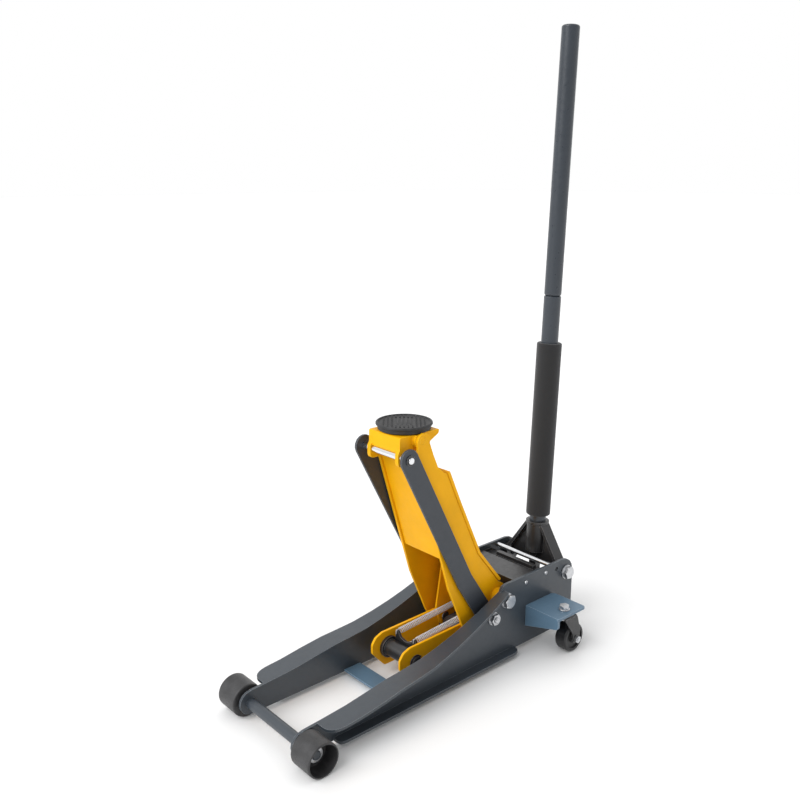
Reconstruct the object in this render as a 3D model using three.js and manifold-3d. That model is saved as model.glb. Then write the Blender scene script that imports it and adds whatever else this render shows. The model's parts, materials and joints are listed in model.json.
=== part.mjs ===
// Low-profile trolley jack with its lift arm raised: a standalone three.js model.
// Millimetres, +Z up, +X towards the handle (rear), +Y to the right side.
// Every sub-part is drawn with X = 0 at the front axle, Y = 0 on the mid-plane and Z = 0 on
// the ground. The whole group is then slid along X so that its box is centred on the origin.
import * as THREE from 'three';
import { mergeVertices } from 'three/addons/utils/BufferGeometryUtils.js';
import Module from 'manifold-3d';

const wasm = await Module();
wasm.setup();

// ---------------------------------------------------------------- driving dimensions
const GAP = 0.3;                       // clearance between pieces that meet

// Chassis side plates
const WEB_IN = 75;                     // half distance between the two webs, inside
const WEB_OUT = 80;                    // the same, outside
const RAIL_BOTTOM = 10;
const RAIL_TOP = 156;                  // top edge beside the power unit
const RAIL_REAR = 683;
const NOSE_R = 22;                     // round front end of each web
const SHEET = 5;                       // flange thickness
const TOP_EDGE = [[0, 54.5], [90, 60.5], [182, 73], [257, 79.5], [338, 98], [405, 120], [458, 142]];
const FLANGE_EDGE = [[140, 119], [203, 116.5], [271, 112.5], [312, 109], [396, 103], [466, 98]];
const FLANGE = { front: 28.5, corner: 92, side: 118.5, bend: 64 };  // plan of the top flange's nose
const LOWER_FLANGE = { x0: 60, x1: 500, y: 100 };

// Pivots, as [x, z]
const AXLE = [0, 30];                  // front axle
const A = [480.3, 122.6];              // lift arm on the chassis
const B = [442.8, 97.2];               // parallel link on the chassis
const C = [283.5, 476.4];              // head on the lift arm
const D = [C[0] + B[0] - A[0], C[1] + B[1] - A[1]];   // head on the parallel link
const K = [425, 65];                   // crank pin on the lift arm
const P = [279, 52];                   // crosshead on the ram
const H = [661.3, 126.1];              // handle yoke on the chassis

// Other round features of the webs, as [x, z] and radius
const CROSS_ROD = { at: [623, 147.6], r: 5 };
const DRAIN_HOLE = { at: [632, 140], r: 4.5 };
const LINK_BOLT_R = 8;
const YOKE_BOLT_R = 9;

// Lift arm
const ARM_IN = 49.5;
const ARM_OUT = 54.5;
const CRANK_IN = 31;
const CRANK_OUT = 35;
const DRAW_IN = 36;                    // draw links between crosshead and crank
const DRAW_OUT = 41;
const LINK_IN = 58;                    // parallel links
const LINK_OUT = 63;
const LINK_HALF = 18.7;                // half width of a parallel link
const LINK_BEND = [384, 186];          // where the bar turns towards its lower pivot
const PIVOT_TUBE_R = 17;
const SHAFT_R = 12;
const CRANK_PIN_R = 9;
const HEAD_PIN_R = 6.5;
const SADDLE_PIN_R = 6;
const LINK_END_R = 19.5;               // round ends of a parallel link

// Saddle
const SADDLE = { x: 288.5, r: 50.4, neck: 47.2, top: 500, bottom: 488.2, under: 486 };
const CUP_R = 46;
const STEM_R = 14;

// Hydraulics and return springs
const ROD_R = 14;
const ROD_END = 466;                    // inner end of the ram rod with the arm raised
const CYLINDER = { r: 25, x0: 414, x1: 558 };
const BLOCK = { x0: 558.3, x1: 622, y: 52, z0: 22, z1: 112 };
const PLUNGER = { r: 8, z: 98, x0: 602, x1: 648.2 };
const VALVE = { r: 7, z: 56, x0: 606, x1: 666 };
const SPRING = { y: 24, r: 6, x0: 299, z0: 81, x1: 440, z1: 89.5 };

// Wheels and casters
const FRONT_WHEEL = { r: 30, y0: 86, y1: 135.5, floor: 106, hub: 112, hubR: 15 };
const WASHER = { r: 13, y0: 112.3, y1: 114.8 };
const AXLE_R = 10;
const AXLE_TIP = { r: 8, y: 117.5 };   // reduced end beyond the washer
const BRACKET = { x0: 538, x1: 622.5, y1: 162, top: 92 };
const KINGPIN = { x: 581, y: 142, r: 6 };
const CASTER = { trail: 19, r: 29, w: 26, axle: 4, plate: 84 };

// Handle, measured along its own axis from the height of the yoke pivot
const HANDLE = { x: 658.8, lean: 2.51, r: 17, wall: 3 };
const SOCKET = { s0: 24, s1: 90.6, r: 22, rim: 24.3 };
const LOWER_TUBE = { s0: 30, s1: 558.4 };
const FOAM = { s0: 103, s1: 465, r: 25 };
const UPPER_TUBE = { s1: 1062, spigot: 78, spigotR: 13.6 };

// Facets around turned pieces and steps along curved corners
const ROUND = 20;
const ROUND_SMALL = 14;
const ROUND_WHEEL = 28;
const CURVE_STEPS = 4;
const NOSE_STEPS = 9;

// ---------------------------------------------------------------- materials
const PAINT = { color: 0x2b3642, roughness: 0.45, metalness: 0.3 };
const BRACKET_PAINT = { color: 0x4a6076, roughness: 0.45, metalness: 0.3 };
const LINK_PAINT = { color: 0x3a3f47, roughness: 0.5, metalness: 0.3 };
const YELLOW = { color: 0xe39a12, roughness: 0.42, metalness: 0.1 };
const BLACK = { color: 0x141516, roughness: 0.5, metalness: 0.3 };
const ZINC = { color: 0xb9bdc2, roughness: 0.3, metalness: 0.9 };
const CHROME = { color: 0xd7dade, roughness: 0.15, metalness: 1 };
const CAST = { color: 0x33363a, roughness: 0.6, metalness: 0.5 };
const TUBE_PAINT = { color: 0x46525e, roughness: 0.4, metalness: 0.3 };
const RUBBER = { color: 0x1a1a1b, roughness: 0.85, metalness: 0 };
const FOAM_SKIN = { color: 0x3c3d3f, roughness: 0.95, metalness: 0 };

// ---------------------------------------------------------------- solid helpers
function welded(geometry) {
  const bare = geometry.clone();
  for (const name of ['normal', 'uv']) bare.deleteAttribute(name);
  return mergeVertices(bare, 1e-4);
}

function volume(geometry) {
  const p = geometry.attributes.position;
  const a = new THREE.Vector3(), b = new THREE.Vector3(), c = new THREE.Vector3();
  let total = 0;
  for (let i = 0; i < geometry.index.count; i += 3) {
    a.fromBufferAttribute(p, geometry.index.getX(i));
    b.fromBufferAttribute(p, geometry.index.getX(i + 1));
    c.fromBufferAttribute(p, geometry.index.getX(i + 2));
    total += a.dot(b.cross(c));
  }
  return total / 6;
}

// A closed geometry as a manifold solid, with its faces turned outward.
function solid(geometry) {
  const g = welded(geometry);
  const tris = new Uint32Array(g.index.array);
  if (volume(g) < 0) {
    for (let i = 0; i < tris.length; i += 3) [tris[i], tris[i + 1]] = [tris[i + 1], tris[i]];
  }
  const vertProperties = new Float32Array(g.attributes.position.array);
  return new wasm.Manifold(new wasm.Mesh({ numProp: 3, vertProperties, triVerts: tris }));
}

function geometryOf(manifold) {
  const mesh = manifold.getMesh();
  const g = new THREE.BufferGeometry();
  g.setAttribute('position', new THREE.BufferAttribute(new Float32Array(mesh.vertProperties), 3));
  g.setIndex(new THREE.BufferAttribute(new Uint32Array(mesh.triVerts), 1));
  g.computeVertexNormals();
  return g;
}

const join = (...parts) => parts.reduce((a, b) => a.add(b));
const cut = (body, ...tools) => tools.reduce((a, b) => a.subtract(b), body);

// ---------------------------------------------------------------- shape helpers
// Outline from corners [a, b] or [a, b, fillet radius].
function outline(corners) {
  const shape = new THREE.Shape();
  const n = corners.length;
  corners.forEach(([x, y, r = 0], i) => {
    const at = new THREE.Vector2(x, y);
    const toPrev = new THREE.Vector2(...corners[(i + n - 1) % n]).sub(at);
    const toNext = new THREE.Vector2(...corners[(i + 1) % n]).sub(at);
    const half = toPrev.angleTo(toNext) / 2;
    const reach = Math.min(r / Math.tan(half), toPrev.length() * 0.5, toNext.length() * 0.5);
    const from = at.clone().add(toPrev.setLength(reach));
    const to = at.clone().add(toNext.setLength(reach));
    if (i === 0) shape.moveTo(from.x, from.y); else shape.lineTo(from.x, from.y);
    if (r > 0) shape.quadraticCurveTo(x, y, to.x, to.y);
  });
  shape.closePath();
  return shape;
}

// Outline in X and Z, made into a plate between two Y values.
function slab(shape, y0, y1, steps = CURVE_STEPS) {
  const g = new THREE.ExtrudeGeometry(shape, { depth: y1 - y0, bevelEnabled: false, curveSegments: steps });
  g.rotateX(Math.PI / 2);
  g.translate(0, y1, 0);
  return solid(g);
}

// Outline in X and Y, made into a plate between two Z values.
function plate(shape, z0, z1, steps = CURVE_STEPS) {
  const g = new THREE.ExtrudeGeometry(shape, { depth: z1 - z0, bevelEnabled: false, curveSegments: steps });
  g.translate(0, 0, z0);
  return solid(g);
}

// Outline in Y and Z, made into a plate between two X values.
function bulkhead(shape, x0, x1, steps = CURVE_STEPS) {
  const g = new THREE.ExtrudeGeometry(shape, { depth: x1 - x0, bevelEnabled: false, curveSegments: steps });
  g.rotateX(Math.PI / 2);
  g.rotateZ(Math.PI / 2);
  g.translate(x0, 0, 0);
  return solid(g);
}

function box(x0, x1, y0, y1, z0, z1) {
  const g = new THREE.BoxGeometry(x1 - x0, y1 - y0, z1 - z0);
  g.translate((x0 + x1) / 2, (y0 + y1) / 2, (z0 + z1) / 2);
  return solid(g);
}

// Turned piece about the Y axis at [x, z], from corners [radius, y].
function turnedY([x, z], profile, sides = ROUND) {
  const g = new THREE.LatheGeometry(profile.map(([r, y]) => new THREE.Vector2(r, y)), sides);
  g.translate(x, 0, z);
  return solid(g);
}

function rodY(centre, r, y0, y1, sides = ROUND) {
  return turnedY(centre, [[0, y0], [r, y0], [r, y1], [0, y1]], sides);
}

// Turned piece about a vertical axis at (x, y), from corners [radius, z].
function turnedZ(x, y, profile, sides = ROUND) {
  const g = new THREE.LatheGeometry(profile.map(([r, z]) => new THREE.Vector2(r, z)), sides);
  g.rotateX(Math.PI / 2);
  g.translate(x, y, 0);
  return solid(g);
}

// Turned piece about an axis along X at (y, z), from corners [radius, x].
function turnedX(y, z, profile, sides = ROUND) {
  const g = new THREE.LatheGeometry(profile.map(([r, x]) => new THREE.Vector2(r, x)), sides);
  g.rotateZ(-Math.PI / 2);
  g.translate(0, y, z);
  return solid(g);
}

// Hexagonal head or nut about the Y axis.
function hexY(centre, acrossFlats, y0, y1) {
  return rodY(centre, acrossFlats / Math.sqrt(3), y0, y1, 6);
}

function mirrored(manifold) {
  const g = geometryOf(manifold);
  g.scale(1, -1, 1);
  return solid(g);
}

// ---------------------------------------------------------------- scene graph
const jack = new THREE.Group();
const handleGroup = new THREE.Group();
handleGroup.position.set(HANDLE.x, 0, H[1]);
handleGroup.rotation.y = THREE.MathUtils.degToRad(HANDLE.lean);
jack.add(handleGroup);

function add(name, manifold, look, group = jack) {
  const mesh = new THREE.Mesh(geometryOf(manifold), new THREE.MeshStandardMaterial(look));
  mesh.name = name;
  group.add(mesh);
}

// A piece drawn on the right side, with its mirror image on the left.
function addPair(name, manifold, look) {
  add(`right_${name}`, manifold, look);
  add(`left_${name}`, mirrored(manifold), look);
}

// ---------------------------------------------------------------- chassis
function topCurve() {
  return new THREE.SplineCurve(TOP_EDGE.map(([x, z]) => new THREE.Vector2(x, z))).getPoints(12);
}

function webOutline() {
  const shape = new THREE.Shape();
  shape.absarc(0, RAIL_BOTTOM + NOSE_R, NOSE_R, -Math.PI / 2, -Math.PI * 1.5, true);
  for (const p of topCurve()) shape.lineTo(p.x, p.y);
  shape.lineTo(463, 144.5);
  shape.quadraticCurveTo(466, 156, 479, RAIL_TOP);
  shape.lineTo(RAIL_REAR - 32, RAIL_TOP);
  shape.quadraticCurveTo(RAIL_REAR - 4, RAIL_TOP - 2, RAIL_REAR, RAIL_TOP - 30);
  shape.lineTo(RAIL_REAR, RAIL_BOTTOM + 14);
  shape.quadraticCurveTo(RAIL_REAR, RAIL_BOTTOM, RAIL_REAR - 14, RAIL_BOTTOM);
  shape.closePath();
  return shape;
}

// The sloping top flange: a bent strip cut to its plan outline.
function topFlange() {
  const edge = topCurve();
  const strip = new THREE.Shape();
  edge.forEach((p, i) => (i ? strip.lineTo(p.x, p.y) : strip.moveTo(p.x, p.y)));
  strip.lineTo(470, 147);
  strip.lineTo(473, 141);
  edge.reverse().forEach((p) => strip.lineTo(p.x, p.y - SHEET));
  strip.closePath();
  const plan = new THREE.Shape();
  plan.moveTo(FLANGE.front, WEB_IN);
  plan.lineTo(FLANGE.front, FLANGE.corner);
  plan.quadraticCurveTo(FLANGE.front, FLANGE.side, FLANGE.bend, FLANGE.side);
  const outer = new THREE.SplineCurve(FLANGE_EDGE.map(([x, y]) => new THREE.Vector2(x, y)));
  for (const p of outer.getPoints(8)) plan.lineTo(p.x, p.y);
  plan.lineTo(474, 92);
  plan.lineTo(474, WEB_IN);
  plan.closePath();
  return slab(strip, WEB_IN, 125).intersect(plate(plan, 0, 200, NOSE_STEPS));
}

function sidePlate() {
  const lower = plate(outline([
    [LOWER_FLANGE.x0, WEB_IN], [LOWER_FLANGE.x0, LOWER_FLANGE.y, 12],
    [LOWER_FLANGE.x1, LOWER_FLANGE.y, 16], [LOWER_FLANGE.x1 + 8, WEB_IN],
  ]), RAIL_BOTTOM, RAIL_BOTTOM + SHEET);
  const body = join(slab(webOutline(), WEB_IN, WEB_OUT), topFlange(), lower);
  const holes = [[AXLE, AXLE_R], [A, SHAFT_R], [B, LINK_BOLT_R], [H, YOKE_BOLT_R],
    [DRAIN_HOLE.at, DRAIN_HOLE.r]];
  return cut(body, ...holes.map(([at, r]) => rodY(at, r + GAP, WEB_IN - 5, WEB_OUT + 5)));
}
addPair('side_plate', sidePlate(), PAINT);

function frontAxle() {
  const { r, y } = AXLE_TIP;
  const step = WASHER.y1;
  return turnedY(AXLE, [[0, -y], [r - 1, -y], [r, -y + 1], [r, -step], [AXLE_R, -step],
    [AXLE_R, step], [r, step], [r, y - 1], [r - 1, y], [0, y]]);
}
add('front_axle', frontAxle(), PAINT);
add('front_cross_brace', box(203, 241, -WEB_IN + GAP, WEB_IN - GAP, 10.5, 14.5), BRACKET_PAINT);

// Cover over the power unit: a flat front sheet, a sunk rear floor with one raised strip across
// it, and folded side tabs and front lip.
function rearCover() {
  const half = WEB_IN - GAP;
  const sheet = plate(outline([[514, -half], [573.5, -half, 8], [573.5, half, 8], [514, half]]), 146, 149);
  const floor = box(528, 612, -half, half, 138, 140.5);
  const strip = box(592, 602, -50, 50, 139, 148.5);
  const tab = box(528, 604, half - 3, half, 132, 146.5);
  const lip = box(514, 517, -half, half, 134, 148);
  return join(sheet, floor, strip, tab, mirrored(tab), lip);
}
add('rear_cover_plate', rearCover(), BLACK);
add('rear_cross_rod', rodY(CROSS_ROD.at, CROSS_ROD.r, -WEB_IN + GAP, WEB_IN - GAP, ROUND_SMALL), CHROME);

add('arm_pivot_shaft', turnedY(A, [
  [0, -60], [6.5, -60], [6.5, -79.7], [SHAFT_R, -79.7], [SHAFT_R, 79.7], [6.5, 79.7], [6.5, 60], [0, 60],
]), ZINC);

// Bolt seen from outside a web: washer, hexagon and shank running inward.
function bolt(at, shankR, inner, washerR, acrossFlats, headEnd) {
  const seat = WEB_OUT + GAP;
  const shank = turnedY(at, [[0, inner], [shankR, inner], [shankR, seat], [washerR, seat],
    [washerR, seat + 3], [0, seat + 3]]);
  return join(shank, hexY(at, acrossFlats, seat + 2.5, headEnd));
}
addPair('arm_bolt', bolt(A, 6.2, 62, 15, 25, 93), ZINC);
addPair('link_bolt', join(bolt(B, LINK_BOLT_R, 57.5, 13, 20, 91), rodY(B, 5.5, 90, 95, ROUND_SMALL)), ZINC);
addPair('yoke_bolt', bolt(H, YOKE_BOLT_R, 64, 14.5, 23, 92.5), ZINC);

// Power unit between the webs: pump block, ram cylinder, plunger and release valve.
function powerUnit() {
  const half = BLOCK.y;
  const body = bulkhead(outline([[-half, BLOCK.z0, 10], [-half, BLOCK.z1 - 8, 16], [-30, BLOCK.z1, 6],
    [30, BLOCK.z1, 6], [half, BLOCK.z1 - 8, 16], [half, BLOCK.z0, 10]]), BLOCK.x0, BLOCK.x1);
  const foot = box(BLOCK.x0 + 8, BLOCK.x1 - 8, -WEB_IN + GAP, WEB_IN - GAP, 24, 44);
  const bore = (z, r, x0) => turnedX(0, z, [[0, x0], [r + GAP, x0], [r + GAP, 640], [0, 640]]);
  return cut(join(body, foot), bore(PLUNGER.z, PLUNGER.r, 576), bore(VALVE.z, VALVE.r, 600));
}
add('power_unit', powerUnit(), CAST);

add('ram_cylinder', turnedX(0, P[1], [
  [ROD_R + GAP, CYLINDER.x0], [CYLINDER.r + 2.5, CYLINDER.x0], [CYLINDER.r + 2.5, CYLINDER.x0 + 14],
  [CYLINDER.r, CYLINDER.x0 + 16], [CYLINDER.r, CYLINDER.x1], [ROD_R + GAP, CYLINDER.x1],
  [ROD_R + GAP, CYLINDER.x0],
]), CAST);

add('pump_plunger', turnedX(0, PLUNGER.z, [[0, PLUNGER.x0], [PLUNGER.r, PLUNGER.x0],
  [PLUNGER.r, PLUNGER.x1 - 3], [PLUNGER.r - 3, PLUNGER.x1], [0, PLUNGER.x1]], ROUND_SMALL), CHROME);

function releaseValve() {
  const stem = turnedX(0, VALVE.z, [[0, VALVE.x0], [VALVE.r, VALVE.x0], [VALVE.r, 640], [11, 641],
    [11, VALVE.x1 - 1], [10, VALVE.x1], [0, VALVE.x1]], ROUND_SMALL);
  return cut(stem, box(VALVE.x1 - 12, VALVE.x1 + 1, -4, 4, VALVE.z - 15, VALVE.z + 15));
}
add('release_valve', releaseValve(), ZINC);

// ---------------------------------------------------------------- lift arm
function armPlate() {
  const shape = new THREE.Shape();
  shape.absarc(C[0] + 2, C[1] - 2, 15, 3.6, -0.35, true);
  shape.lineTo(308, 447);
  shape.lineTo(320, 420);
  shape.lineTo(334, 408);
  shape.lineTo(341, 404.6);
  shape.lineTo(369.4, 342.4);
  shape.lineTo(424.3, 226);
  shape.lineTo(484, 151.5);
  shape.absarc(A[0], A[1], 27, 1.1, -0.77, true);
  shape.absarc(K[0], K[1], 20, -0.77, -2.85, true);
  shape.lineTo(390, 84);
  shape.quadraticCurveTo(366, 140, 349, 178);
  shape.lineTo(330, 240);
  shape.lineTo(301, 336);
  shape.lineTo(270, 440);
  shape.closePath();
  const body = slab(shape, ARM_IN, ARM_OUT);
  const holes = [[C, HEAD_PIN_R], [A, PIVOT_TUBE_R], [K, CRANK_PIN_R]];
  return cut(body, ...holes.map(([at, r]) => rodY(at, r + GAP, 40, 60)));
}
addPair('arm_plate', armPlate(), YELLOW);

const coverHalf = ARM_IN - GAP;
add('arm_front_cover', slab(outline([
  [275, 438], [305, 336], [334, 240], [339, 241.5], [310, 337.5], [280, 439.5],
]), -coverHalf, coverHalf), YELLOW);

add('arm_rear_cover', slab(outline([
  [342, 405.3], [370, 342.8], [425, 226.4], [485.5, 152.2], [490, 156.2],
  [430.3, 229.4], [375.5, 345.3], [347.5, 408],
]), -ARM_OUT - 2, ARM_OUT + 2), YELLOW);

add('arm_pivot_tube', turnedY(A, [
  [SHAFT_R + GAP, -72], [PIVOT_TUBE_R, -72], [PIVOT_TUBE_R, 72], [SHAFT_R + GAP, 72], [SHAFT_R + GAP, -72],
]), YELLOW);

function crankPlate() {
  const shape = new THREE.Shape();
  shape.absarc(A[0], A[1], 24, 1.2, -0.77, true);
  shape.absarc(K[0], K[1], 18, -0.77, -3.05, true);
  shape.lineTo(400, 92);
  shape.lineTo(413, 170);
  shape.lineTo(422, 215);
  shape.lineTo(440, 200);
  shape.closePath();
  const body = slab(shape, CRANK_IN, CRANK_OUT);
  return cut(body, rodY(A, PIVOT_TUBE_R + GAP, 20, 50), rodY(K, CRANK_PIN_R + GAP, 20, 50));
}
addPair('crank_plate', crankPlate(), YELLOW);

addPair('crank_pin', turnedY(K, [
  [0, 30], [CRANK_PIN_R, 30], [CRANK_PIN_R, DRAW_OUT + GAP], [13, DRAW_OUT + GAP],
  [13, ARM_IN - GAP], [CRANK_PIN_R, ARM_IN - GAP], [CRANK_PIN_R, 57], [0, 57],
]), ZINC);

addPair('head_pin', rodY(C, HEAD_PIN_R, 20.3, ARM_OUT - 0.1), YELLOW);

// ---------------------------------------------------------------- saddle head and saddle
function saddleHead() {
  const top = SADDLE.under;
  const crown = slab(outline([[242, 456, 5], [242, top, 4], [335, top, 6], [333, 478, 6], [304, 463, 10],
    [296, 456, 6]]), -41, 41);
  const bossSide = rodY(C, 14, 30, ARM_IN - GAP);
  const above = box(200, 400, -60, 60, top, top + 30);
  const lug = slab(outline([[238, 434, 9], [238, 457, 4], [242, 464], [262, 470], [262, 433.5, 5]]), 33, 41);
  const body = join(crown, bossSide, mirrored(bossSide), lug, mirrored(lug));
  const stemBore = turnedZ(SADDLE.x, 0, [[0, 464], [STEM_R + GAP, 464], [STEM_R + GAP, 520], [0, 520]]);
  const pinBore = rodY(C, HEAD_PIN_R + GAP, 20, 60);
  return cut(body, above, pinBore, mirrored(pinBore), rodY(D, SADDLE_PIN_R + GAP, -60, 60), stemBore);
}
add('saddle_head', saddleHead(), YELLOW);

function saddlePin() {
  const end = LINK_OUT + 5, r = SADDLE_PIN_R;
  return turnedY(D, [[0, -end], [r - 1, -end], [r, -end + 1], [r, end - 1], [r - 1, end], [0, end]]);
}
add('saddle_pin', saddlePin(), CHROME);

add('saddle_cup', turnedZ(SADDLE.x, 0, [
  [0, 466], [STEM_R, 466], [STEM_R, SADDLE.under + GAP], [CUP_R - 2, SADDLE.under + GAP],
  [CUP_R, SADDLE.under + 2], [CUP_R, 490], [0, 490],
], ROUND_WHEEL), BLACK);

add('saddle_pad', turnedZ(SADDLE.x, 0, [
  [0, 490.3], [CUP_R + GAP, 490.3], [CUP_R + GAP, SADDLE.bottom], [SADDLE.neck, SADDLE.bottom],
  [SADDLE.neck, 494.2], [SADDLE.r, 495.8], [SADDLE.r, 498.5], [SADDLE.r - 1.3, SADDLE.top], [0, SADDLE.top],
], ROUND_WHEEL), RUBBER);

// ---------------------------------------------------------------- parallel links
// A bar with round ends that bends once between its two pivots.
function parallelLink() {
  const r = LINK_END_R;
  const dir = (p, q) => Math.atan2(q[1] - p[1], q[0] - p[0]);
  const upper = dir(D, LINK_BEND), lower = dir(LINK_BEND, B);
  const side = (p, angle, s) => [p[0] + Math.cos(angle) * s, p[1] + Math.sin(angle) * s];
  const quarter = Math.PI / 2;
  const shape = new THREE.Shape();
  shape.absarc(D[0], D[1], r, upper - quarter, upper + quarter, true);
  const front = side(LINK_BEND, (upper + lower) / 2 - quarter, LINK_HALF);
  const rear = side(LINK_BEND, (upper + lower) / 2 + quarter, LINK_HALF);
  shape.lineTo(...rear);
  shape.absarc(B[0], B[1], r, lower + quarter, lower - quarter, true);
  shape.lineTo(...front);
  shape.closePath();
  const ends = [[D, SADDLE_PIN_R], [B, LINK_BOLT_R]];
  return cut(slab(shape, LINK_IN, LINK_OUT), ...ends.map(([at, hole]) => rodY(at, hole + GAP, 50, 70)));
}
addPair('parallel_link', parallelLink(), LINK_PAINT);

// ---------------------------------------------------------------- ram, draw links and springs
const crosshead = turnedY(P, [
  [0, -46], [10, -46], [11, -45], [11, -DRAW_IN + GAP], [21, -DRAW_IN + GAP], [21, -29], [16, -29], [16, 29],
  [21, 29], [21, DRAW_IN - GAP], [11, DRAW_IN - GAP], [11, 45], [10, 46], [0, 46],
]);
add('crosshead', cut(crosshead, turnedX(0, P[1], [[0, P[0] + 10], [9.3, P[0] + 10], [9.3, 310], [0, 310]])),
  BLACK);

add('ram_rod', turnedX(0, P[1], [
  [0, P[0] + 10.5], [9, P[0] + 10.5], [9, 297], [ROD_R, 298], [ROD_R, ROD_END], [0, ROD_END],
]), CHROME);

// Plate behind the crosshead that the front spring hooks pull on.
function springHanger() {
  const half = SPRING.y + 4;
  const ear = SPRING.y - 4;
  const shape = outline([[-half, 44, 4], [-half, 84, 4], [-ear, 84, 3], [-15, 74, 4], [0, 70, 10],
    [15, 74, 4], [ear, 84, 3], [half, 84, 4], [half, 44, 4]]);
  const rodHole = turnedX(0, P[1], [[0, 280], [9.4, 280], [9.4, 310], [0, 310]], ROUND_SMALL);
  const flange = rodY(P, 21 + GAP, 28, 40);
  return cut(bulkhead(shape, 290.5, 295.5), rodHole, rodY(P, 16 + GAP, -40, 40), flange, mirrored(flange));
}
add('spring_hanger', springHanger(), BLACK);

function drawLink() {
  const shape = outline([[270, 15, 8], [241, 48, 10], [241, 66, 10], [250, 78, 10], [266, 84, 10],
    [436, 86, 14], [450, 76, 12], [450, 36, 12], [430, 20, 12], [300, 15, 8]]);
  const clearance = outline([[K[0] - 12, K[1] - 29, 12], [K[0] - 12, K[1] + 12, 12],
    [K[0] + 12, K[1] + 12, 12], [K[0] + 12, K[1] - 29, 12]]);
  return cut(slab(shape, DRAW_IN, DRAW_OUT), slab(clearance, 30, 50), rodY(P, 11 + GAP, 30, 50));
}
addPair('draw_link', drawLink(), YELLOW);

// Collar clamped around the cylinder's front end; the rear spring hooks hold on to its ears.
function springAnchor() {
  const shape = outline([[-29.5, 82, 3], [-29.5, 96, 4], [-18, 96, 4], [-12, 87, 4], [12, 87, 4],
    [18, 96, 4], [29.5, 96, 4], [29.5, 82, 3]]);
  const strap = turnedX(0, P[1], [[25.4, 446], [28.6, 446], [28.6, 454], [25.4, 454], [25.4, 446]]);
  return join(strap, bulkhead(shape, 446, 450), box(446, 450, -10, 10, 79.5, 88));
}
add('spring_anchor', springAnchor(), BLACK);

// Outer envelope of a coil spring, lying between the hanger and the anchor.
function returnSpring() {
  const length = Math.hypot(SPRING.x1 - SPRING.x0, SPRING.z1 - SPRING.z0);
  const g = new THREE.CylinderGeometry(SPRING.r, SPRING.r, length, 12);
  g.rotateZ(-Math.PI / 2);
  g.rotateY(-Math.atan2(SPRING.z1 - SPRING.z0, SPRING.x1 - SPRING.x0));
  g.translate((SPRING.x0 + SPRING.x1) / 2, SPRING.y, (SPRING.z0 + SPRING.z1) / 2);
  return solid(g);
}
addPair('return_spring', returnSpring(), ZINC);

// ---------------------------------------------------------------- front wheels
function frontWheel() {
  const { r, y0, y1, floor, hub, hubR } = FRONT_WHEEL;
  const bore = AXLE_R + GAP;
  return turnedY(AXLE, [[bore, y0], [r - 1.5, y0], [r, y0 + 1.5], [r, y1 - 1.5], [r - 1.5, y1], [r - 3, y1],
    [r - 6, floor + 1], [hubR + 1, floor], [hubR, hub], [bore, hub], [bore, y0]], ROUND_WHEEL);
}
addPair('front_wheel', frontWheel(), CAST);
addPair('wheel_washer', turnedY(AXLE, [[AXLE_TIP.r + GAP, WASHER.y1 + GAP], [WASHER.r, WASHER.y1 + GAP],
  [WASHER.r, WASHER.y0], [AXLE_R + GAP, WASHER.y0], [AXLE_R + GAP, WASHER.y1 + 0.2],
  [AXLE_TIP.r + GAP, WASHER.y1 + 0.2], [AXLE_TIP.r + GAP, WASHER.y1 + GAP]]), ZINC);

// ---------------------------------------------------------------- casters
function kingpinHole() {
  const r = KINGPIN.r + GAP;
  return turnedZ(KINGPIN.x, KINGPIN.y, [[0, 60], [r, 60], [r, 110], [0, 110]], ROUND_SMALL);
}

// Flat deck with a folded front skirt that is deeper beside the web.
function casterBracket() {
  const { x0, x1, y1, top } = BRACKET;
  const y0 = WEB_OUT + GAP;
  const shape = outline([[x0, y0], [x0, y1, 6], [x1, y1, 6], [x1, y0 + 6, 6], [x1 - 6, y0]]);
  const deck = plate(shape, top - SHEET, top);
  const skirt = bulkhead(outline([[y0, 48], [y0, top - 2], [y1, top - 2, 4], [y1, 70, 8]]), x0, x0 + 5);
  return cut(join(deck, skirt), kingpinHole());
}
addPair('caster_bracket', casterBracket(), BRACKET_PAINT);

function kingpin() {
  const seat = BRACKET.top + GAP;
  const { x, y, r } = KINGPIN;
  const body = turnedZ(x, y, [[0, 72], [10, 72], [10, 77.5], [r, 77.5], [r, seat], [11, seat],
    [11, seat + 2], [0, seat + 2]], ROUND_SMALL);
  const hex = turnedZ(x, y, [[0, seat + 1.5], [10, seat + 1.5], [10, seat + 9], [0, seat + 9]], 6);
  return join(body, hex);
}
addPair('kingpin', kingpin(), ZINC);

// Fork: round swivel plate under the deck and two legs that trail to the wheel axle.
function casterFork() {
  const { trail, axle, plate: crown } = CASTER;
  const wheel = [KINGPIN.x + trail, CASTER.r];
  const race = turnedZ(KINGPIN.x, KINGPIN.y, [[0, 78.5], [19, 78.5], [22, 81.5], [22, crown - 1], [20, crown],
    [20, 86.6], [0, 86.6]]);
  const leg = outline([[KINGPIN.x - 17, 80], [KINGPIN.x + 20, 80, 6], [wheel[0] + 12, 44, 14],
    [wheel[0] + 9, wheel[1] - 9, 9], [wheel[0] - 9, wheel[1] - 9, 9], [wheel[0] - 10, 42, 14]]);
  const near = slab(leg, KINGPIN.y + 14, KINGPIN.y + 17.5);
  const far = slab(leg, KINGPIN.y - 17.5, KINGPIN.y - 14);
  const crownPlate = box(KINGPIN.x - 16, KINGPIN.x + 19, KINGPIN.y - 17, KINGPIN.y + 17, 78.5, 81);
  const bore = rodY(wheel, axle + GAP, KINGPIN.y - 30, KINGPIN.y + 30, ROUND_SMALL);
  return cut(join(race, near, far, crownPlate), kingpinHole(), bore);
}
addPair('caster_fork', casterFork(), BLACK);

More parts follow.
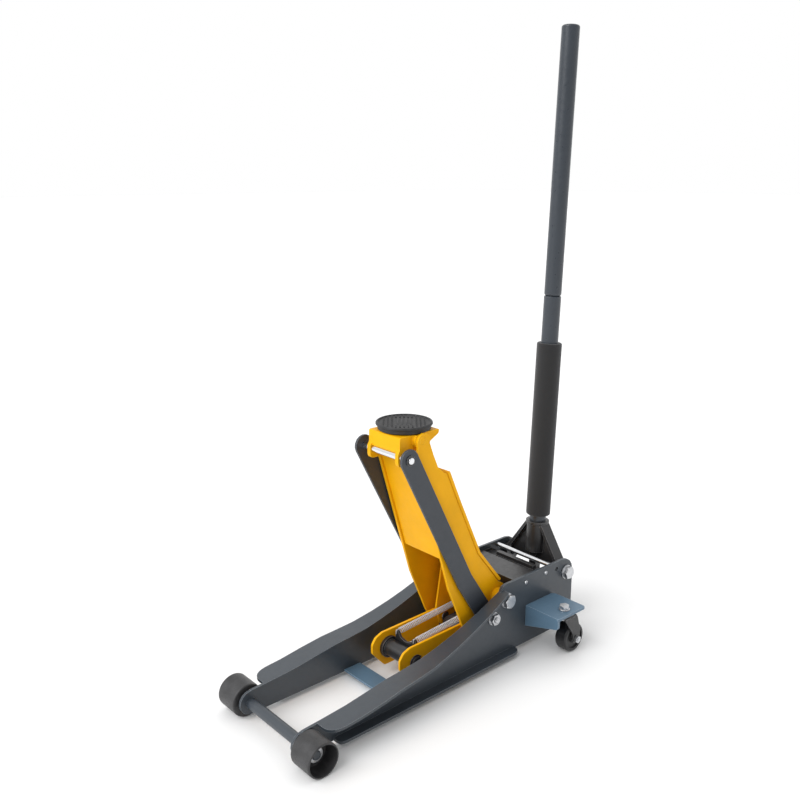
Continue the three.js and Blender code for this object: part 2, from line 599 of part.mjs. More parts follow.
const casterAxle = [KINGPIN.x + CASTER.trail, CASTER.r];
function casterWheel() {
  const half = CASTER.w / 2, y = KINGPIN.y, r = CASTER.r, bore = CASTER.axle + GAP;
  return turnedY(casterAxle, [
    [bore, y - half], [11, y - half], [11, y - half + 3], [22, y - half + 3], [22, y - half],
    [r - 2, y - half], [r, y - half + 3], [r, y + half - 3], [r - 2, y + half], [22, y + half],
    [22, y + half - 3], [11, y + half - 3], [11, y + half], [bore, y + half], [bore, y - half],
  ], ROUND_WHEEL - 4);
}
addPair('caster_wheel', casterWheel(), BLACK);

function casterAxleBolt() {
  const y = KINGPIN.y, r = CASTER.axle, leg = 17.5 + GAP;
  const rod = turnedY(casterAxle, [[0, y - leg - 5], [6.5, y - leg - 5], [7, y - leg - 4], [7, y - leg],
    [r, y - leg], [r, y + leg + 8], [0, y + leg + 8]], ROUND_SMALL);
  return join(rod, hexY(casterAxle, 13, y + leg, y + leg + 6));
}
addPair('caster_axle', casterAxleBolt(), ZINC);

// ---------------------------------------------------------------- handle yoke and handle
// These are drawn upright about the handle axis, in the leaning handle group.
const pivotX = H[0] - HANDLE.x;        // yoke pivot behind the handle axis

function yokeLeg() {
  const flank = bulkhead(outline([[15, 84], [20, 86], [69, 14], [69, -2], [63.5, -2], [63.5, 10]]), -13, 13);
  const eye = turnedY([pivotX, 0], [[0, 63], [20, 63], [20, 73.5], [0, 73.5]]);
  return join(flank, eye);
}

function handleYoke() {
  const web = bulkhead(outline([[-18, 84], [18, 84], [66, 14], [64, 2], [-64, 2], [-66, 14]]), -3, 3);
  const lug = slab(outline([[pivotX - 12, 40], [pivotX + 6, 40], [pivotX + 4, -26, 7],
    [pivotX - 10.6, -32, 7], [pivotX - 10.6, -14]]), -9, 9);
  const { s0, s1, r, rim } = SOCKET;
  const bore = HANDLE.r + GAP;
  const tube = turnedZ(0, 0, [[0, s0], [r, s0], [r, s1 - 7], [rim, s1 - 5], [rim, s1 - 1],
    [rim - 2, s1], [0, s1]]);
  const leg = yokeLeg();
  const body = join(web, lug, tube, leg, mirrored(leg));
  const socket = turnedZ(0, 0, [[0, s0 + 5], [bore, s0 + 5], [bore, s1 + 9], [0, s1 + 9]]);
  const pin = rodY([pivotX, 0], YOKE_BOLT_R + GAP, 50, 90);
  return cut(body, socket, pin, mirrored(pin));
}
add('handle_yoke', handleYoke(), BLACK, handleGroup);

const tubeIn = HANDLE.r - HANDLE.wall;
add('lower_handle_tube', turnedZ(0, 0, [
  [tubeIn, LOWER_TUBE.s0], [HANDLE.r, LOWER_TUBE.s0], [HANDLE.r, LOWER_TUBE.s1 - 1],
  [HANDLE.r - 1, LOWER_TUBE.s1],
  [tubeIn, LOWER_TUBE.s1], [tubeIn, LOWER_TUBE.s0],
]), TUBE_PAINT, handleGroup);

add('foam_grip', turnedZ(0, 0, [
  [HANDLE.r + GAP, FOAM.s0], [FOAM.r - 2, FOAM.s0], [FOAM.r, FOAM.s0 + 2], [FOAM.r, FOAM.s1 - 2],
  [FOAM.r - 2, FOAM.s1], [HANDLE.r + GAP, FOAM.s1], [HANDLE.r + GAP, FOAM.s0],
]), FOAM_SKIN, handleGroup);

function upperTube() {
  const { s1, spigot, spigotR } = UPPER_TUBE;
  const base = LOWER_TUBE.s1 + 0.6;
  return turnedZ(0, 0, [
    [0, s1], [HANDLE.r - 2.5, s1], [HANDLE.r, s1 - 2.5], [HANDLE.r, base + 4], [HANDLE.r - 1.2, base + 1],
    [spigotR, base], [spigotR, base - spigot], [spigotR - 2, base - spigot], [spigotR - 2, s1 - 4],
    [0, s1 - 4],
  ]);
}
add('upper_handle_tube', upperTube(), TUBE_PAINT, handleGroup);

// ---------------------------------------------------------------- place the model on its origin
const box3 = new THREE.Box3().setFromObject(jack, true);
jack.position.x = -(box3.min.x + box3.max.x) / 2;

export default jack;
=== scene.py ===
# Low-profile trolley jack with its lift arm raised: the visual model.
# Metres, +Z up, +X towards the handle, +Y to the right side. Every place comes from the packed
# frame: the boxes of its nodes and the anchors of its joints.
import json
import math

import bmesh
import bpy
from mathutils import Matrix, Vector

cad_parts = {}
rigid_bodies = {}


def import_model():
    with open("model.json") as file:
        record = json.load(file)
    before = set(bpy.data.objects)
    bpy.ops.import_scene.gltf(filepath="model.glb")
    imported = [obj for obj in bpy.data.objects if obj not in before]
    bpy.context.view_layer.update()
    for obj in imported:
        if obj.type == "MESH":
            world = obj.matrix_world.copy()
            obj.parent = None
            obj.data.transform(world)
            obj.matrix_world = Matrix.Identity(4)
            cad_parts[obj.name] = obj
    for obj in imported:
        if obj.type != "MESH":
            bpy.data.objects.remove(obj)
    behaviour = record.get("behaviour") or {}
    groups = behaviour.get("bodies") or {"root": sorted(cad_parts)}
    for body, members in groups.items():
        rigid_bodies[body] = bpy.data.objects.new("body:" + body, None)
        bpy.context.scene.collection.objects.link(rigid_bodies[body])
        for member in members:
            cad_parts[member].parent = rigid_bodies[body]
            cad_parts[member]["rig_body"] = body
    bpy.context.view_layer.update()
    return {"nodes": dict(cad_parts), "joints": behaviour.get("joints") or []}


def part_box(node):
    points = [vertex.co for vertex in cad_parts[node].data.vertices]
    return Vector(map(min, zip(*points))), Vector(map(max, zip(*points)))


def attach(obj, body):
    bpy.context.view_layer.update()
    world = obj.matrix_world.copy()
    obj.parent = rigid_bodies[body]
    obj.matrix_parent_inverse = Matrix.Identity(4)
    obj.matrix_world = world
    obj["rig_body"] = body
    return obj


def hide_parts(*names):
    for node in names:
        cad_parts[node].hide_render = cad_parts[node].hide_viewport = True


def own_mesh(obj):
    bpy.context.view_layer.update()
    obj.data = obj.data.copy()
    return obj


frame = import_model()

MM = 0.001
X, Y, Z = Vector((1, 0, 0)), Vector((0, 1, 0)), Vector((0, 0, 1))
IN_PLANE = X + Z                         # drops a point on to the mid-plane when multiplied
SIDES = (("right", 1), ("left", -1))     # +Y is the right side
SEGMENTS = 72                            # around a turned piece
SEGMENTS_SMALL = 40
SHARP = math.radians(34)                 # a crease sharper than this isn't shaded smooth
CREASE = math.radians(26)                # a folded or cut edge that gets a small round


# ---------------------------------------------------------------- places in the frame
def joint(name):
    return next(j for j in frame["joints"] if j["name"] == name)


def anchor(name):
    return Vector(joint(name)["pos_m"])


def centre(node):
    low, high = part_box(node)
    return (low + high) / 2


SADDLE_PIVOT = centre("saddle_pin")
CROSSHEAD = centre("crosshead")
AXLE = centre("front_axle")
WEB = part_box("right_caster_bracket")[0].y - 0.3 * MM     # outer face of a side plate, from mid-plane
HANDLE_AXIS = Vector(joint("handle_twist")["axis"]).normalized()


def place(x, y, z):
    """A point in millimetres behind the front axle, off the mid-plane and above the ground."""
    return Vector((AXLE.x + x * MM, y * MM, z * MM))


# ---------------------------------------------------------------- node materials
class Look:
    """A principled material whose colour, roughness and relief come from nodes."""

    def __init__(self, name, **sockets):
        self.material = bpy.data.materials.new(name)
        self.material.use_nodes = True
        self.tree = self.material.node_tree
        self.tree.nodes.clear()
        self.shader = self.add("ShaderNodeBsdfPrincipled")
        for socket, value in sockets.items():
            self.shader.inputs[socket].default_value = value
        output = self.add("ShaderNodeOutputMaterial")
        self.link(self.shader.outputs["BSDF"], output.inputs["Surface"])
        self.coords = self.add("ShaderNodeTexCoord").outputs["Object"]

    def add(self, kind, **values):
        node = self.tree.nodes.new(kind)
        for key, value in values.items():
            setattr(node, key, value)
        return node

    def link(self, source, target):
        self.tree.links.new(source, target)

    def noise(self, scale, detail=4.0, roughness=0.55, stretch=(1, 1, 1)):
        """Noise with scale features a metre, drawn out along an axis by stretch."""
        mapping = self.add("ShaderNodeMapping")
        mapping.inputs["Scale"].default_value = stretch
        self.link(self.coords, mapping.inputs["Vector"])
        node = self.add("ShaderNodeTexNoise")
        node.inputs["Scale"].default_value = scale
        node.inputs["Detail"].default_value = detail
        node.inputs["Roughness"].default_value = roughness
        self.link(mapping.outputs["Vector"], node.inputs["Vector"])
        return node.outputs["Fac"]

    def span(self, value, low, high, to_low=0.0, to_high=1.0):
        """value from low to high becomes to_low to to_high, and stays within them."""
        node = self.add("ShaderNodeMapRange")
        for socket, number in zip(("From Min", "From Max", "To Min", "To Max"),
                                  (low, high, to_low, to_high)):
            node.inputs[socket].default_value = number
        self.link(value, node.inputs["Value"])
        return node.outputs["Result"]

    def edges(self, radius, start=0.16, full=0.45):
        """The mask of the painted edge highlights: 1 on outward edges and 0 on flat faces, from how far a
        rounded normal turns.
        """
        bevel = self.add("ShaderNodeBevel", samples=4)
        bevel.inputs["Radius"].default_value = radius
        geometry = self.add("ShaderNodeNewGeometry")
        apart = self.add("ShaderNodeVectorMath", operation="DISTANCE")
        self.link(bevel.outputs["Normal"], apart.inputs[0])
        self.link(geometry.outputs["Normal"], apart.inputs[1])
        return self.span(apart.outputs["Value"], start, full)

    def mix(self, fac, a, b):
        """Colour a where fac is 0, and b where it is 1. Each is a colour or a socket."""
        node = self.add("ShaderNodeMix", data_type="RGBA")
        self.link(fac, node.inputs[0])
        for socket, colour in ((node.inputs[6], a), (node.inputs[7], b)):
            if isinstance(colour, bpy.types.NodeSocket):
                self.link(colour, socket)
            else:
                socket.default_value = (*colour, 1)
        return node.outputs[2]

    def colour(self, socket):
        self.link(socket, self.shader.inputs["Base Color"])

    def rough(self, socket):
        self.link(socket, self.shader.inputs["Roughness"])

    def relief(self, height, depth, strength=1.0):
        """Bump of that depth, on top of any relief that the look has already."""
        bump = self.add("ShaderNodeBump")
        bump.inputs["Strength"].default_value = strength
        bump.inputs["Distance"].default_value = depth
        self.link(height, bump.inputs["Height"])
        normal = self.shader.inputs["Normal"]
        if normal.links:
            self.link(normal.links[0].from_socket, bump.inputs["Normal"])
        self.link(bump.outputs["Normal"], normal)


def shade(colour, factor):
    return tuple(min(1.0, c * factor) for c in colour)


def paint(name, colour, roughness, edge_highlight, specular=0.5, speckle=0.06):
    """Sprayed paint on steel: cloudy tone, fine speckle, orange peel, and lighter edges that are a
    painted highlight.
    """
    look = Look(name, **{"Specular IOR Level": specular})
    cloud = look.span(look.noise(9, 5), 0.3, 0.7)
    grain = look.span(look.noise(900, 2), 0.35, 0.65)
    tone = look.mix(cloud, shade(colour, 0.88), shade(colour, 1.12))
    tone = look.mix(look.span(grain, 0, 1, 0, speckle * 4), tone, shade(colour, 1.5))
    dust = look.span(look.noise(55, 8, 0.7), 0.58, 0.8, 0, 0.3)
    tone = look.mix(dust, tone, shade(colour, 1.35))
    # painted highlight: outward edges turn to the paint's lighter edge colour
    look.colour(look.mix(look.edges(0.9 * MM), tone, edge_highlight))
    look.rough(look.span(look.noise(120, 6), 0.3, 0.7, roughness - 0.07, roughness + 0.09))
    look.relief(look.noise(650, 3), 0.00005, 0.6)
    look.relief(look.noise(14, 2), 0.0004, 0.25)
    return look.material


def plated(name, colour, roughness, tint):
    """Zinc plate or machined steel: fine scratches, mottling and a dull bloom."""
    look = Look(name, Metallic=1.0)
    mottle = look.span(look.noise(60, 6, 0.65), 0.35, 0.68)
    tone = look.mix(mottle, shade(colour, 0.82), colour)
    bloom = look.span(look.noise(240, 5, 0.7), 0.55, 0.75, 0, 0.45)
    look.colour(look.mix(bloom, tone, tint))
    look.rough(look.span(look.noise(400, 6), 0.3, 0.7, roughness - 0.08, roughness + 0.12))
    look.relief(look.noise(1500, 4, 0.6, (1, 0.12, 1)), 0.00003, 0.5)
    return look.material


def polished(name, colour):
    """Hard chrome rod: drawn lines along it and a few oily streaks."""
    look = Look(name, Metallic=1.0)
    streak = look.span(look.noise(90, 5, 0.6, (0.15, 1, 1)), 0.5, 0.8, 0, 0.5)
    look.colour(look.mix(streak, colour, shade(colour, 0.7)))
    look.rough(look.span(look.noise(160, 6), 0.3, 0.7, 0.1, 0.24))
    look.relief(look.noise(2200, 2, 0.5, (0.1, 1, 1)), 0.00002, 0.4)
    return look.material


def casting(name, colour, roughness):
    """Cast iron: sandy relief with darker pits, and lighter edges that are a painted highlight."""
    look = Look(name, Metallic=0.35)
    sand = look.noise(520, 6, 0.7)
    patch = look.span(look.noise(38, 6, 0.6), 0.3, 0.72)
    tone = look.mix(patch, shade(colour, 0.66), shade(colour, 1.3))
    tone = look.mix(look.span(sand, 0.55, 0.75, 0, 0.5), tone, shade(colour, 0.5))
    # painted highlight: the edges turn a lighter grey
    look.colour(look.mix(look.edges(0.8 * MM), tone, shade(colour, 2.6)))
    look.rough(look.span(sand, 0.3, 0.7, roughness - 0.1, roughness + 0.12))
    look.relief(sand, 0.00035, 0.8)
    return look.material


def rubber(name, colour):
    look = Look(name, **{"Specular IOR Level": 0.4})
    worn = look.span(look.noise(75, 7, 0.7), 0.45, 0.7)
    tone = look.mix(worn, colour, shade(colour, 2.2))
    # painted highlight: the edges turn lighter
    look.colour(look.mix(look.edges(0.5 * MM), tone, shade(colour, 5)))
    look.rough(look.span(worn, 0, 1, 0.55, 0.75))
    look.relief(look.noise(1300, 4), 0.0001, 0.6)
    return look.material


def foam_rubber(name, colour):
    """Closed-cell foam sleeve: fine open skin, soft blotches and a dusty sheen."""
    look = Look(name, **{"Sheen Weight": 0.35, "Sheen Roughness": 0.5, "Specular IOR Level": 0.25})
    look.shader.inputs["Sheen Tint"].default_value = (0.8, 0.8, 0.82, 1)
    cells = look.add("ShaderNodeTexVoronoi", feature="F1")
    cells.inputs["Scale"].default_value = 1500
    look.link(look.coords, cells.inputs["Vector"])
    pores = look.span(cells.outputs["Distance"], 0.0, 0.55)
    blotch = look.span(look.noise(26, 6, 0.6), 0.3, 0.7)
    tone = look.mix(blotch, shade(colour, 0.9), shade(colour, 1.12))
    look.colour(look.mix(pores, shade(colour, 0.7), tone))
    look.rough(look.span(blotch, 0, 1, 0.82, 0.95))
    look.relief(pores, 0.00012, 0.7)
    look.relief(look.noise(70, 4), 0.0006, 0.35)
    return look.material


def nylon(name, colour):
    look = Look(name)
    scuff = look.span(look.noise(110, 7, 0.7), 0.5, 0.75)
    tone = look.mix(scuff, colour, shade(colour, 2.4))
    # painted highlight: the edges turn lighter
    look.colour(look.mix(look.edges(0.6 * MM), tone, shade(colour, 4)))
    look.rough(look.span(scuff, 0, 1, 0.36, 0.6))
    look.relief(look.noise(900, 3), 0.00006, 0.5)
    return look.material


# each paint's fourth colour is the painted highlight on its edges
LOOKS = {
    "frame_paint": paint("frame_paint", (0.036, 0.045, 0.056), 0.36, (0.24, 0.27, 0.30), 0.6),
    "bracket_paint": paint("bracket_paint", (0.088, 0.155, 0.225), 0.38, (0.36, 0.44, 0.52)),
    "link_paint": paint("link_paint", (0.031, 0.037, 0.047), 0.40, (0.34, 0.35, 0.36)),
    "yellow_paint": paint("yellow_paint", (0.84, 0.405, 0.002), 0.42, (0.97, 0.66, 0.04), 0.14, 0.01),
    "black_paint": paint("black_paint", (0.016, 0.016, 0.017), 0.34, (0.24, 0.24, 0.245), 0.6),
    "tube_paint": paint("tube_paint", (0.026, 0.033, 0.043), 0.33, (0.26, 0.28, 0.31), 0.6),
    "zinc_steel": plated("zinc_steel", (0.66, 0.67, 0.69), 0.32, (0.42, 0.43, 0.42)),
    "spring_wire": paint("spring_wire", (0.36, 0.37, 0.39), 0.3, (0.85, 0.86, 0.88), 0.8),
    "bright_steel": polished("bright_steel", (0.80, 0.81, 0.83)),
    "cast_iron": casting("cast_iron", (0.048, 0.048, 0.050), 0.46),
    "saddle_rubber": rubber("saddle_rubber", (0.022, 0.022, 0.023)),
    "foam": foam_rubber("foam", (0.022, 0.022, 0.023)),
    "caster_wheel_plastic": nylon("caster_wheel_plastic", (0.010, 0.010, 0.011)),
}


# ---------------------------------------------------------------- pieces from meshes
def piece(name, mesh, look, body, replaces=(), bevel=0.0, steps=2, crease=CREASE):
    """An object of that mesh in a look, riding on a body, with its sharp edges rounded."""
    obj = bpy.data.objects.new(name, mesh)
    bpy.context.scene.collection.objects.link(obj)
    mesh.shade_smooth()
    if bevel:
        rounding = obj.modifiers.new("round", "BEVEL")
        rounding.width = bevel
        rounding.segments = steps
        rounding.limit_method = "ANGLE"
        rounding.angle_limit = crease
        rounding.miter_outer = "MITER_ARC"
        rounding.use_clamp_overlap = True
    mesh.set_sharp_from_angle(angle=SHARP)
    weights = obj.modifiers.new("normals", "WEIGHTED_NORMAL")
    weights.keep_sharp = not bevel
    settled = bpy.data.meshes.new_from_object(obj.evaluated_get(bpy.context.evaluated_depsgraph_get()))
    obj.modifiers.clear()
    obj.data = settled
    settled.materials.clear()
    settled.materials.append(LOOKS[look])
    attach(obj, body)
    if replaces:
        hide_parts(*replaces)
    return obj


def mesh_of(bm, name):
    bmesh.ops.recalc_face_normals(bm, faces=bm.faces[:])
    mesh = bpy.data.meshes.new(name)
    bm.to_mesh(mesh)
    bm.free()
    return mesh


def welded(node):
    """A CAD node's mesh as a bmesh, with its facets merged into flat faces."""
    bm = bmesh.new()
    bm.from_mesh(frame["nodes"][node].data)
    bmesh.ops.remove_doubles(bm, verts=bm.verts[:], dist=0.00002)
    bmesh.ops.dissolve_limit(bm, angle_limit=math.radians(0.6), verts=bm.verts[:], edges=bm.edges[:])
    return bm


def body_of(node):
    return frame["nodes"][node]["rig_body"]


def refined(node, look, bevel=0.8 * MM, steps=2):
    """A fabricated piece as CAD has it, with the small round that cut or cast edges have."""
    mesh = mesh_of(welded(node), node)
    return piece(f"{node}_body", mesh, look, body_of(node), [node], bevel, steps)


def softened(profile, fillet, steps=3):
    """A profile of (radius, distance) corners with each corner off the axis rounded."""
    closed = profile[0][0] > 1e-6
    points = [Vector(p) for p in profile]
    count = len(points)
    out = []
    for i, at in enumerate(points):
        if not closed and i in (0, count - 1):
            out.append(at)
            continue
        before, after = points[i - 1] - at, points[(i + 1) % count] - at
        reach = min(fillet, before.length * 0.45, after.length * 0.45)
        turn = math.pi - before.angle(after)
        if turn < 0.2 or reach < 0.00003:
            out.append(at)
            continue
        start, end = at + before.normalized() * reach, at + after.normalized() * reach
        for k in range(steps + 1):
            t = k / steps
            out.append(start * (1 - t) ** 2 + at * 2 * t * (1 - t) + end * t ** 2)
    return [(p[0], p[1]) for p in out]


def side_of(axis):
    """A direction square to axis, and the one square to both."""
    side = (Y if abs(axis.y) < 0.5 else Z).cross(axis).normalized()
    return side, axis.cross(side)


def lathe(bm, at, axis, profile, segments=SEGMENTS):
    """The closed surface that a profile of (radius, distance along axis) sweeps."""
    side, up = side_of(axis)
    rings = []
    for radius, along in profile:
        base = at + axis * along
        if radius < 1e-6:
            rings.append([bm.verts.new(base)])
            continue
        turns = [2 * math.pi * i / segments for i in range(segments)]
        rings.append([bm.verts.new(base + (side * math.cos(t) + up * math.sin(t)) * radius)
                      for t in turns])
    pairs = list(zip(rings, rings[1:]))
    if len(rings[0]) > 1:
        pairs.append((rings[-1], rings[0]))
    for a, b in pairs:
        for i in range(segments):
            corners = [a[i % len(a)], a[(i + 1) % len(a)], b[(i + 1) % len(b)], b[i % len(b)]]
            loop = list(dict.fromkeys(corners))
            if len(loop) > 2:
                bm.faces.new(loop)
    return bm


def section(node, at, axis):
    """The profile of a turned CAD node about an axis, as (radius, distance) corners."""
    bm = welded(node)
    side, up = side_of(axis)
    if abs(axis.z) > 0.5:
        side, up = up, side
    whole = lambda: bm.verts[:] + bm.edges[:] + bm.faces[:]
    bmesh.ops.bisect_plane(bm, geom=whole(), dist=1e-7, plane_co=at, plane_no=-side, clear_outer=True)
    cut = bmesh.ops.bisect_plane(bm, geom=whole(), dist=1e-7, plane_co=at, plane_no=up)["geom_cut"]
    edges = [e for e in cut if isinstance(e, bmesh.types.BMEdge)]
    spot = lambda v: (round((v.co - at).dot(side), 7), round((v.co - at).dot(axis), 7))
    near = {}
    for e in edges:
        a, b = spot(e.verts[0]), spot(e.verts[1])
        if a != b:
            near.setdefault(a, set()).add(b)
            near.setdefault(b, set()).add(a)
    bm.free()
    ends = sorted(p for p in near if len(near[p]) == 1)
    here = ends[0] if ends else min(near)
    chain = [here]
    while True:
        onward = [p for p in near[here] if p not in chain]
        if not onward:
            break
        here = onward[0]
        chain.append(here)
    if ends:
        chain[0], chain[-1] = (0.0, chain[0][1]), (0.0, chain[-1][1])
    count = len(chain)
    bends = []
    for i, p in enumerate(chain):
        if ends and i in (0, count - 1):
            bends.append(p)
            continue
        before = Vector(p) - Vector(chain[i - 1])
        after = Vector(chain[(i + 1) % count]) - Vector(p)
        if before.length > 1e-6 and after.length > 1e-6 and before.angle(after) > 0.03:
            bends.append(p)
    return bends


def returned(node, look, axis, at=None, fillet=0.6 * MM):
    """A turned piece as CAD has it, turned again with many sides and rounded corners."""
    at = at or centre(node)
    bm = lathe(bmesh.new(), at, axis, softened(section(node, at, axis), fillet))
    return piece(f"{node}_body", mesh_of(bm, node), look, body_of(node), [node])


def hexagon(bm, at, axis, flats, start, end, turn=0.0):
    """A hexagonal head or nut between two distances along axis, chamfered at the far end."""
    side, up = side_of(axis)
    per_side = 6
    count = 6 * per_side
    flat = flats / 2
    crown = flat * 0.97
    rings = [[], [], []]
    for i in range(count):
        angle = 2 * math.pi * i / count
        within = (angle + math.pi / 6) % (math.pi / 3) - math.pi / 6
        radius = flat / math.cos(within)
        out = side * math.cos(angle + turn) + up * math.sin(angle + turn)
        low = end - (radius - crown) * math.tan(math.radians(30))
        for ring, (r, s) in zip(rings, ((radius, start), (radius, low), (crown, end))):
            ring.append(bm.verts.new(at + axis * s + out * r))
    for a, b in zip(rings, rings[1:]):
        for i in range(count):
            j = (i + 1) % count
            bm.faces.new((a[i], a[j], b[j], b[i]))
    bm.faces.new(rings[0])
    bm.faces.new(rings[2])
    return bm


def sweep(bm, points, radius, sides=8):
    """A round wire through points, closed at both ends."""
    rings = []
    up = None
    for i, p in enumerate(points):
        ahead = (points[min(i + 1, len(points) - 1)] - points[max(i - 1, 0)]).normalized()
        if up is None:
            up = (ahead.orthogonal()).normalized()
        up = (up - ahead * up.dot(ahead)).normalized()
        across = ahead.cross(up)
        turns = [2 * math.pi * k / sides for k in range(sides)]
        rings.append([bm.verts.new(p + (up * math.cos(t) + across * math.sin(t)) * radius)
                      for t in turns])
    for a, b in zip(rings, rings[1:]):
        for k in range(sides):
            n = (k + 1) % sides
            bm.faces.new((a[k], a[n], b[n], b[k]))
    bm.faces.new(rings[0])
    bm.faces.new(rings[-1])
    return bm


# ---------------------------------------------------------------- chassis
def chassis():
    for side, _ in SIDES:
        refined(f"{side}_side_plate", "frame_paint", 1.2 * MM, 3)
        refined(f"{side}_caster_bracket", "bracket_paint", 1.8 * MM, 3)
    refined("front_cross_brace", "bracket_paint", 0.6 * MM)
    refined("rear_cover_plate", "black_paint", 0.8 * MM)
    returned("front_axle", "frame_paint", Y, fillet=1 * MM)
    returned("rear_cross_rod", "bright_steel", Y)
    returned("arm_pivot_shaft", "zinc_steel", Y)


def washer(bm, at, axis, radius, start, thick):
    lathe(bm, at, axis, softened([(0, start), (radius, start), (radius, start + thick),
                                  (0, start + thick)], 0.5 * MM), SEGMENTS_SMALL)


def thread(bm, at, axis, radius, start, end, pitch=1.5 * MM):
    """A bolt's end with its thread as rings, and a chamfer at the tip."""
    profile = [(0, start), (radius, start)]
    turns = int((end - start - 2 * MM) / pitch)
    for i in range(turns):
        s = start + (i + 0.5) * pitch
        profile += [(radius, s), (radius - 0.5 * MM, s + pitch / 2)]
    profile += [(radius, end - 1.5 * MM), (radius - 1.2 * MM, end), (0, end)]
    lathe(bm, at, axis, profile, SEGMENTS_SMALL)


def pivot_bolt(node, washer_r, flats, stud=0.0, turn=0.2):
    """Washer and hexagon outside a web, as large as the CAD bolt, and the stud's end."""
    low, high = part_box(node)
    out = Y if high.y > 0 else -Y
    at = centre(node) * IN_PLANE
    end = max(abs(low.y), abs(high.y))
    seat = WEB + 0.3 * MM
    bm = bmesh.new()
    washer(bm, at, out, washer_r, seat, 2.6 * MM)
    hexagon(bm, at, out, flats, seat + 2.6 * MM, end - stud, turn)
    if stud:
        thread(bm, at, out, flats * 0.29, end - stud - 1 * MM, end)
    piece(f"{node}_body", mesh_of(bm, node), "zinc_steel", body_of(node), [node])


def bolts():
    for side, _ in SIDES:
        pivot_bolt(f"{side}_arm_bolt", 15 * MM, 25 * MM)
        pivot_bolt(f"{side}_link_bolt", 13 * MM, 20 * MM, 4 * MM, 0.5)
        pivot_bolt(f"{side}_yoke_bolt", 14.5 * MM, 23 * MM, turn=0.35)


# ---------------------------------------------------------------- hydraulics
def hydraulics():
    refined("power_unit", "cast_iron", 2.5 * MM, 3)
    returned("ram_cylinder", "cast_iron", X, fillet=1.2 * MM)
    returned("ram_rod", "bright_steel", X)
    returned("pump_plunger", "bright_steel", X)
    refined("release_valve", "zinc_steel", 0.5 * MM)
    refined("crosshead", "black_paint", 0.5 * MM)
    refined("spring_hanger", "black_paint", 0.8 * MM)
    refined("spring_anchor", "black_paint", 0.8 * MM)
    for side, _ in SIDES:
        refined(f"{side}_draw_link", "yellow_paint", 0.9 * MM, 3)


# ---------------------------------------------------------------- return springs
COIL_TURNS = 36
WIRE = 0.7 * MM                          # thin enough for every turn to fit with the ram in


def coil(side):
    """A wound spring between its hooks."""
    node = f"{side}_return_spring"
    low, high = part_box(node)
    radius = (high.y - low.y) / 2
    middle = (low.y + high.y) / 2
    front = Vector((low.x + 0.4 * MM, middle, low.z + radius))
    rear = Vector((high.x - 0.4 * MM, middle, high.z - radius))
    ahead = (rear - front).normalized()
    up = ahead.cross(Y)
    steps = COIL_TURNS * 12
    points = []
    for i in range(steps + 1):
        turn = 2 * math.pi * COIL_TURNS * i / steps
        rim = (Y * math.cos(turn) + up * math.sin(turn)) * (radius - WIRE)
        points.append(front.lerp(rear, i / steps) + rim)
    spring = piece(f"{side}_spring_coil", mesh_of(sweep(bmesh.new(), points, WIRE, 6), node),
                   "spring_wire", body_of(node), [node])
    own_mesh(spring)


def hook(name, points, body):
    """A bent wire end of a spring, through points given as place() takes them."""
    corners = [place(*p) for p in points]
    smooth = []
    for a, b in zip(corners, corners[1:]):
        smooth += [a.lerp(b, k / 4) for k in range(4)]
    smooth.append(corners[-1])
    for _ in range(3):
        middle = [(a + b * 2 + c) / 4 for a, b, c in zip(smooth, smooth[1:], smooth[2:])]
        smooth = [smooth[0], *middle, smooth[-1]]
    piece(name, mesh_of(sweep(bmesh.new(), smooth, WIRE, 8), name), "spring_wire", body)


def springs():
    for side, out in SIDES:
        coil(side)
        y = out * 24
        hook(f"{side}_spring_hook_front", [(300, y, 84.6), (297, y, 85.6), (291, y, 85.8), (289, y, 84.5),
                                           (288.8, y, 78)], "ram")
        hook(f"{side}_spring_hook_rear", [(439, y, 93), (443, y, 97.4), (449, y, 97.6), (451.4, y, 96),
                                          (451.6, y, 90)], "chassis")


# ---------------------------------------------------------------- small fittings
def circlip(name, at, out, inner, outer, start, body):
    """A retaining ring on the end of a pin, open on one side, with a wider lug at each tip."""
    side, up = side_of(out)
    bm = bmesh.new()
    gap = 0.45                           # half the opening, in radians
    steps = 40
    thick, tip = 1.2 * MM, 1.2 * MM
    rings = []
    for i in range(steps + 1):
        turn = gap + (2 * math.pi - 2 * gap) * i / steps
        radial = side * math.cos(turn) + up * math.sin(turn)
        wide = outer + (tip if i in (0, 1, steps - 1, steps) else 0)
        rings.append([bm.verts.new(at + radial * r + out * s) for r, s in
                      ((inner, start), (wide, start), (wide, start + thick), (inner, start + thick))])
    for a, b in zip(rings, rings[1:]):
        for k in range(4):
            n = (k + 1) % 4
            bm.faces.new((a[k], a[n], b[n], b[k]))
    bm.faces.new(rings[0])
    bm.faces.new(rings[-1])
    piece(name, mesh_of(bm, name), "black_paint", body, bevel=0.2 * MM)


def screw(name, at, out, radius, height, body):
    """A domed screw head with a round socket sunk into it."""
    bm = bmesh.new()
    dome = [(radius, 0), (radius, height * 0.35), (radius * 0.86, height * 0.8), (radius * 0.62, height),
            (radius * 0.5, height), (radius * 0.44, height * 0.35), (0, height * 0.35)]
    lathe(bm, at, out, [(0, 0), *dome], SEGMENTS_SMALL)
    piece(name, mesh_of(bm, name), "zinc_steel", body)


def fittings():
    for side, sign in SIDES:
        out = Y * sign
        circlip(f"{side}_crosshead_clip", CROSSHEAD * IN_PLANE, out, 10.9 * MM, 14 * MM, 41.6 * MM, "ram")
        circlip(f"{side}_saddle_pin_clip", SADDLE_PIVOT * IN_PLANE, out, 5.9 * MM, 9 * MM, 63.8 * MM,
                body_of("saddle_pin"))
        for i, (x, z) in enumerate(((536.4, 141.6), (596.5, 143.2))):
            screw(f"{side}_cover_screw_{i + 1}", place(x, sign * 80, z), out, 4 * MM, 2.6 * MM, "chassis")


# ---------------------------------------------------------------- saddle
TREAD_DEPTH = 2.0 * MM


